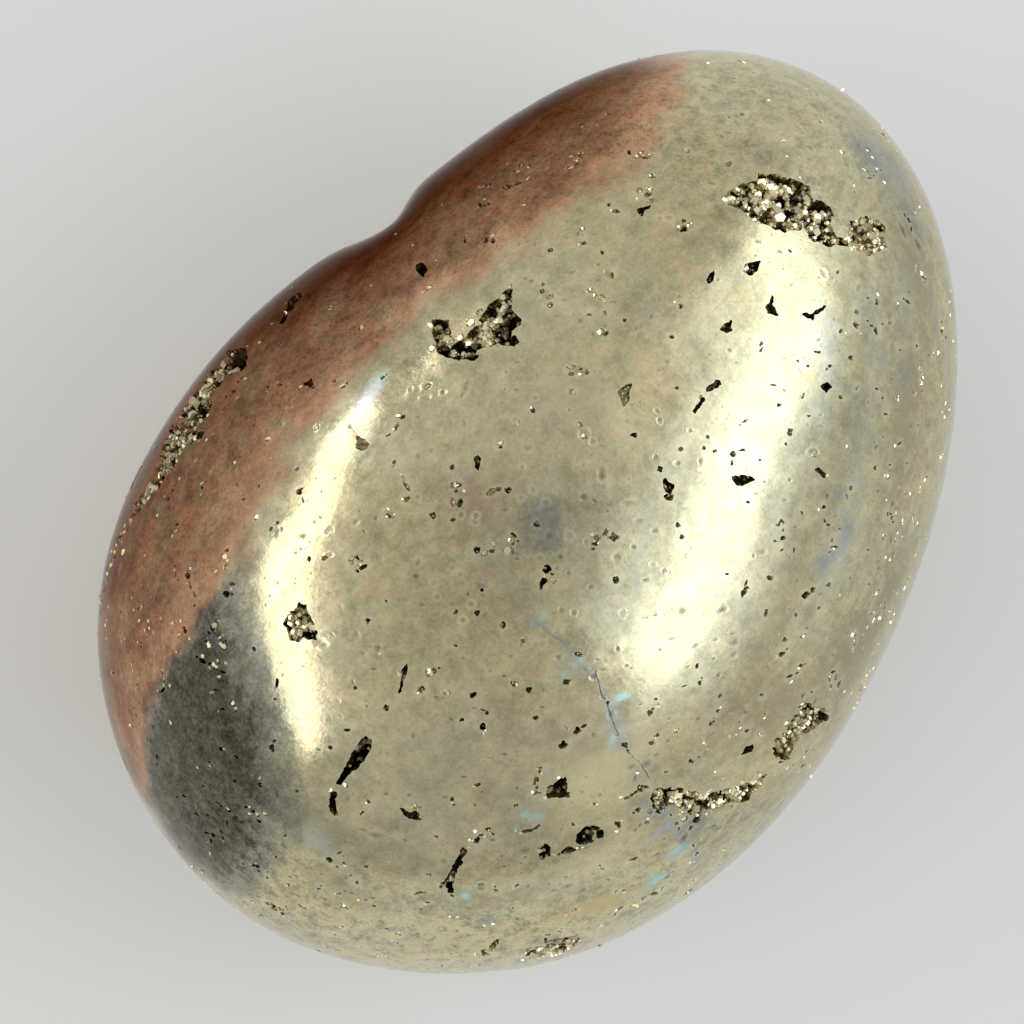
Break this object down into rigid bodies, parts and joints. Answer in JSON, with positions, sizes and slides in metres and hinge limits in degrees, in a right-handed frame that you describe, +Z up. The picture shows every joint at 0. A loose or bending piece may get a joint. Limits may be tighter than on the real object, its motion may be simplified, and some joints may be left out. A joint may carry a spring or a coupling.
{
  "type": "polished pyrite egg",
  "caption": "Egg-shaped polished pyrite stone with crystal-lined cavities and pits, lying on a small ground flat.",
  "frame": {"origin": "middle of the bounding box's base, on the surface that the stone lies on", "axes": "+X along the long axis towards the narrow end, +Y across the stone, +Z up from the ground flat"},
  "size_m": [0.06, 0.043, 0.0423],
  "materials": {
    "pyrite": "polished"
  },
  "bodies": {
    "root": {"pyrite_egg": "pyrite"}
  },
  "joints": []
}
